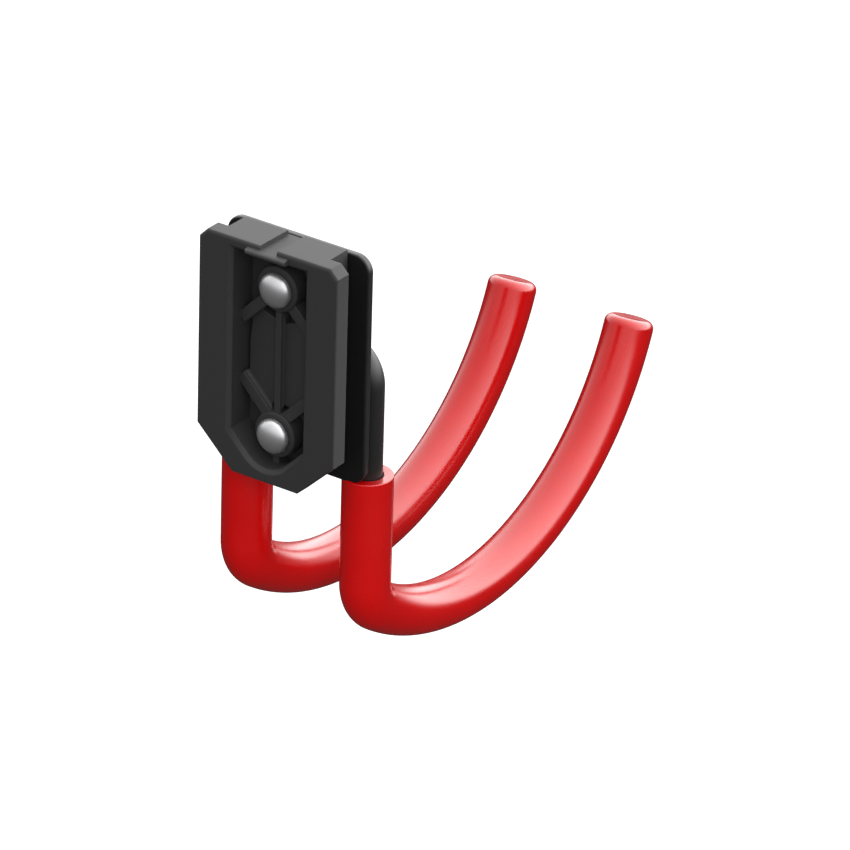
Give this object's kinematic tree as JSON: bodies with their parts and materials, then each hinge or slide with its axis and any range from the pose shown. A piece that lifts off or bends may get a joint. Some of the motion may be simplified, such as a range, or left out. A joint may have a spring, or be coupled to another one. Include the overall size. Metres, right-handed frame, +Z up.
{
  "type": "bicycle wall hook",
  "caption": "Slotted wall-rail cleat with a riveted steel plate and a bent rod whose curved, sleeved arms cradle a bicycle frame tube.",
  "frame": {"origin": "middle of the bottom edge of the cleat's wall-side face", "axes": "+X across the hook, +Y away from the wall towards the arm tips, +Z up"},
  "size_m": [0.0688, 0.1957, 0.1665],
  "materials": {
    "moulded_plastic": "fine satin moulded surface, black",
    "painted_steel": "smooth semi-gloss black coating",
    "red_sleeve": "smooth soft vinyl, satin gloss, red",
    "bright_steel": "zinc-plated, bright, lightly handled"
  },
  "bodies": {
    "root": {"cleat_body": "moulded_plastic", "back_plate": "painted_steel", "upper_rivet": "bright_steel", "lower_rivet": "bright_steel", "hook_rod": "painted_steel", "left_sleeve": "red_sleeve", "right_sleeve": "red_sleeve", "crossbar_weld_top": "painted_steel", "crossbar_weld_bottom": "painted_steel", "left_leg_weld": "painted_steel", "right_leg_weld": "painted_steel"}
  },
  "joints": []
}
